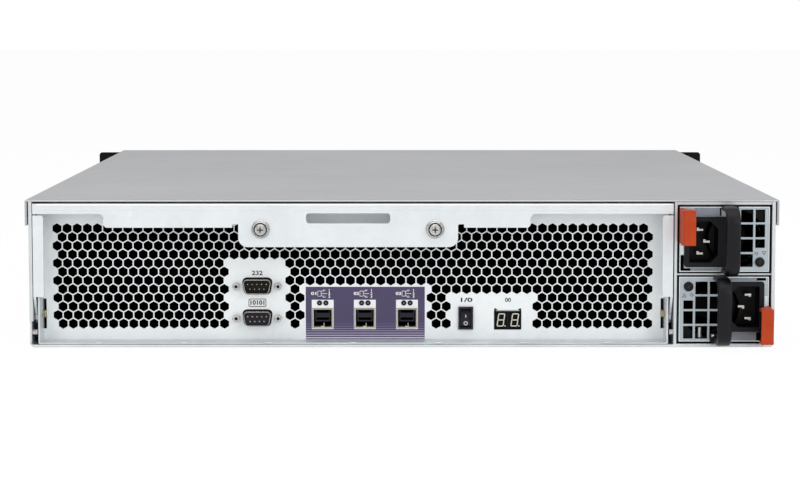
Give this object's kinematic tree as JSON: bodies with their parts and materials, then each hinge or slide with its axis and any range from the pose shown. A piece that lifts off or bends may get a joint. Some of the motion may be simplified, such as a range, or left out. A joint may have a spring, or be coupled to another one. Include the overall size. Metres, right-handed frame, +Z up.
{
  "type": "disk shelf enclosure",
  "caption": "Rack-mount disk shelf chassis with slide-out controller canister, stacked power supplies, cam handle and front drive carriers.",
  "frame": {"origin": "centre of the underside of the chassis tray", "axes": "+X to the right when facing the rear, +Y from the rear to the rack ears at the front, +Z up"},
  "size_m": [0.4826, 0.558, 0.0875],
  "materials": {
    "galvanised": "galvanised, satin",
    "cover_paint": "satin grey",
    "ear_black": "powder coat",
    "screw_steel": "bright zinc",
    "board_green": "solder mask",
    "port_metal": "nickel plated",
    "light_clear": "frosted",
    "display_black": "glossy",
    "switch_black": "moulded",
    "rivet_brass": "plain",
    "supply_steel": "galvanised, satin",
    "grip_black": "moulded",
    "latch_orange": "moulded",
    "fan_black": "moulded",
    "carrier_grey": "moulded",
    "lever_grey": "moulded"
  },
  "bodies": {
    "chassis": {"chassis_tray": "galvanised", "top_cover_front": "cover_paint", "top_cover_rear": "cover_paint", "psu_divider_wall": "galvanised", "psu_shelf": "galvanised", "psu_bay_rails": "galvanised", "midplane_board": "board_green", "drive_cage": "galvanised", "rack_ear_left": "ear_black", "rack_ear_right": "ear_black", "ejector_pins": "screw_steel", "cover_screws": "screw_steel"},
    "canister": {"canister_tray": "galvanised", "canister_face": "galvanised", "controller_board": "board_green", "serial_ports": "port_metal", "jackscrews": "screw_steel", "host_ports": "port_metal", "port_lights": "light_clear", "display_module": "display_black", "switch_housing": "switch_black", "pivot_rivets": "rivet_brass"},
    "handle": {"ejector_handle": "galvanised"},
    "screw_left": {"captive_screw_left": "screw_steel"},
    "screw_right": {"captive_screw_right": "screw_steel"},
    "rocker": {"power_rocker": "switch_black"},
    "psu_lower": {"psu_lower_case": "supply_steel", "psu_lower_inlet": "grip_black", "psu_lower_grip": "grip_black"},
    "latch_lower": {"psu_lower_latch": "latch_orange"},
    "fan_lower": {"psu_lower_fan_rotor": "fan_black"},
    "psu_upper": {"psu_upper_case": "supply_steel", "psu_upper_inlet": "grip_black", "psu_upper_grip": "grip_black"},
    "latch_upper": {"psu_upper_latch": "latch_orange"},
    "fan_upper": {"psu_upper_fan_rotor": "fan_black"},
    "carrier_00": {"drive_carrier_00": "carrier_grey"},
    "lever_00": {"drive_lever_00": "lever_grey"},
    "carrier_01": {"drive_carrier_01": "carrier_grey"},
    "lever_01": {"drive_lever_01": "lever_grey"},
    "carrier_02": {"drive_carrier_02": "carrier_grey"},
    "lever_02": {"drive_lever_02": "lever_grey"},
    "carrier_03": {"drive_carrier_03": "carrier_grey"},
    "lever_03": {"drive_lever_03": "lever_grey"},
    "carrier_04": {"drive_carrier_04": "carrier_grey"},
    "lever_04": {"drive_lever_04": "lever_grey"},
    "carrier_05": {"drive_carrier_05": "carrier_grey"},
    "lever_05": {"drive_lever_05": "lever_grey"},
    "carrier_06": {"drive_carrier_06": "carrier_grey"},
    "lever_06": {"drive_lever_06": "lever_grey"},
    "carrier_07": {"drive_carrier_07": "carrier_grey"},
    "lever_07": {"drive_lever_07": "lever_grey"},
    "carrier_08": {"drive_carrier_08": "carrier_grey"},
    "lever_08": {"drive_lever_08": "lever_grey"},
    "carrier_09": {"drive_carrier_09": "carrier_grey"},
    "lever_09": {"drive_lever_09": "lever_grey"},
    "carrier_10": {"drive_carrier_10": "carrier_grey"},
    "lever_10": {"drive_lever_10": "lever_grey"},
    "carrier_11": {"drive_carrier_11": "carrier_grey"},
    "lever_11": {"drive_lever_11": "lever_grey"}
  },
  "joints": [
    {"name": "canister_slide", "type": "slide", "parent": "chassis", "child": "canister", "axis": [0, -1, 0], "range_m": [0, 0.3]},
    {"name": "handle_hinge", "type": "hinge", "parent": "canister", "child": "handle", "pos_m": [-0.0289, -0.255, 0.0182], "axis": [1, 0, 0], "range_deg": [0, 60]},
    {"name": "screw_left_pull", "type": "slide", "parent": "handle", "child": "screw_left", "axis": [0, -1, 0], "range_m": [0, 0.004]},
    {"name": "screw_right_pull", "type": "slide", "parent": "handle", "child": "screw_right", "axis": [0, -1, 0], "range_m": [0, 0.004]},
    {"name": "rocker_tilt", "type": "hinge", "parent": "canister", "child": "rocker", "pos_m": [0.0381, -0.248, 0.0152], "axis": [1, 0, 0], "range_deg": [-24, 0]},
    {"name": "psu_lower_slide", "type": "slide", "parent": "chassis", "child": "psu_lower", "axis": [0, -1, 0], "range_m": [0, 0.3]},
    {"name": "latch_lower_press", "type": "hinge", "parent": "psu_lower", "child": "latch_lower", "pos_m": [0.2163, -0.2559, 0.0142], "axis": [0, 0, -1], "range_deg": [0, 4], "stiffness_Nm_per_rad": 0.3},
    {"name": "fan_lower_spin", "type": "hinge", "parent": "psu_lower", "child": "fan_lower", "pos_m": [0.1825, -0.2325, 0.0225], "axis": [0, 1, 0], "continuous": true},
    {"name": "psu_upper_slide", "type": "slide", "parent": "chassis", "child": "psu_upper", "axis": [0, -1, 0], "range_m": [0, 0.3]},
    {"name": "latch_upper_press", "type": "hinge", "parent": "psu_upper", "child": "latch_upper", "pos_m": [0.1642, -0.2559, 0.0723], "axis": [0, 0, 1], "range_deg": [0, 4], "stiffness_Nm_per_rad": 0.3},
    {"name": "fan_upper_spin", "type": "hinge", "parent": "psu_upper", "child": "fan_upper", "pos_m": [0.198, -0.2325, 0.064], "axis": [0, 1, 0], "continuous": true},
    {"name": "carrier_00_slide", "type": "slide", "parent": "chassis", "child": "carrier_00", "axis": [0, 1, 0], "range_m": [0, 0.18]},
    {"name": "lever_00_swing", "type": "hinge", "parent": "carrier_00", "child": "lever_00", "pos_m": [-0.2107, 0.2619, 0.01538], "axis": [0, 0, 1], "range_deg": [0, 60]},
    {"name": "carrier_01_slide", "type": "slide", "parent": "chassis", "child": "carrier_01", "axis": [0, 1, 0], "range_m": [0, 0.18]},
    {"name": "lever_01_swing", "type": "hinge", "parent": "carrier_01", "child": "lever_01", "pos_m": [-0.1011, 0.2619, 0.01538], "axis": [0, 0, 1], "range_deg": [0, 60]},
    {"name": "carrier_02_slide", "type": "slide", "parent": "chassis", "child": "carrier_02", "axis": [0, 1, 0], "range_m": [0, 0.18]},
    {"name": "lever_02_swing", "type": "hinge", "parent": "carrier_02", "child": "lever_02", "pos_m": [0.0085, 0.2619, 0.01538], "axis": [0, 0, 1], "range_deg": [0, 60]},
    {"name": "carrier_03_slide", "type": "slide", "parent": "chassis", "child": "carrier_03", "axis": [0, 1, 0], "range_m": [0, 0.18]},
    {"name": "lever_03_swing", "type": "hinge", "parent": "carrier_03", "child": "lever_03", "pos_m": [0.1181, 0.2619, 0.01538], "axis": [0, 0, 1], "range_deg": [0, 60]},
    {"name": "carrier_04_slide", "type": "slide", "parent": "chassis", "child": "carrier_04", "axis": [0, 1, 0], "range_m": [0, 0.18]},
    {"name": "lever_04_swing", "type": "hinge", "parent": "carrier_04", "child": "lever_04", "pos_m": [-0.2107, 0.2619, 0.04375], "axis": [0, 0, 1], "range_deg": [0, 60]},
    {"name": "carrier_05_slide", "type": "slide", "parent": "chassis", "child": "carrier_05", "axis": [0, 1, 0], "range_m": [0, 0.18]},
    {"name": "lever_05_swing", "type": "hinge", "parent": "carrier_05", "child": "lever_05", "pos_m": [-0.1011, 0.2619, 0.04375], "axis": [0, 0, 1], "range_deg": [0, 60]},
    {"name": "carrier_06_slide", "type": "slide", "parent": "chassis", "child": "carrier_06", "axis": [0, 1, 0], "range_m": [0, 0.18]},
    {"name": "lever_06_swing", "type": "hinge", "parent": "carrier_06", "child": "lever_06", "pos_m": [0.0085, 0.2619, 0.04375], "axis": [0, 0, 1], "range_deg": [0, 60]},
    {"name": "carrier_07_slide", "type": "slide", "parent": "chassis", "child": "carrier_07", "axis": [0, 1, 0], "range_m": [0, 0.18]},
    {"name": "lever_07_swing", "type": "hinge", "parent": "carrier_07", "child": "lever_07", "pos_m": [0.1181, 0.2619, 0.04375], "axis": [0, 0, 1], "range_deg": [0, 60]},
    {"name": "carrier_08_slide", "type": "slide", "parent": "chassis", "child": "carrier_08", "axis": [0, 1, 0], "range_m": [0, 0.18]},
    {"name": "lever_08_swing", "type": "hinge", "parent": "carrier_08", "child": "lever_08", "pos_m": [-0.2107, 0.2619, 0.07212], "axis": [0, 0, 1], "range_deg": [0, 60]},
    {"name": "carrier_09_slide", "type": "slide", "parent": "chassis", "child": "carrier_09", "axis": [0, 1, 0], "range_m": [0, 0.18]},
    {"name": "lever_09_swing", "type": "hinge", "parent": "carrier_09", "child": "lever_09", "pos_m": [-0.1011, 0.2619, 0.07212], "axis": [0, 0, 1], "range_deg": [0, 60]},
    {"name": "carrier_10_slide", "type": "slide", "parent": "chassis", "child": "carrier_10", "axis": [0, 1, 0], "range_m": [0, 0.18]},
    {"name": "lever_10_swing", "type": "hinge", "parent": "carrier_10", "child": "lever_10", "pos_m": [0.0085, 0.2619, 0.07212], "axis": [0, 0, 1], "range_deg": [0, 60]},
    {"name": "carrier_11_slide", "type": "slide", "parent": "chassis", "child": "carrier_11", "axis": [0, 1, 0], "range_m": [0, 0.18]},
    {"name": "lever_11_swing", "type": "hinge", "parent": "carrier_11", "child": "lever_11", "pos_m": [0.1181, 0.2619, 0.07212], "axis": [0, 0, 1], "range_deg": [0, 60]}
  ]
}
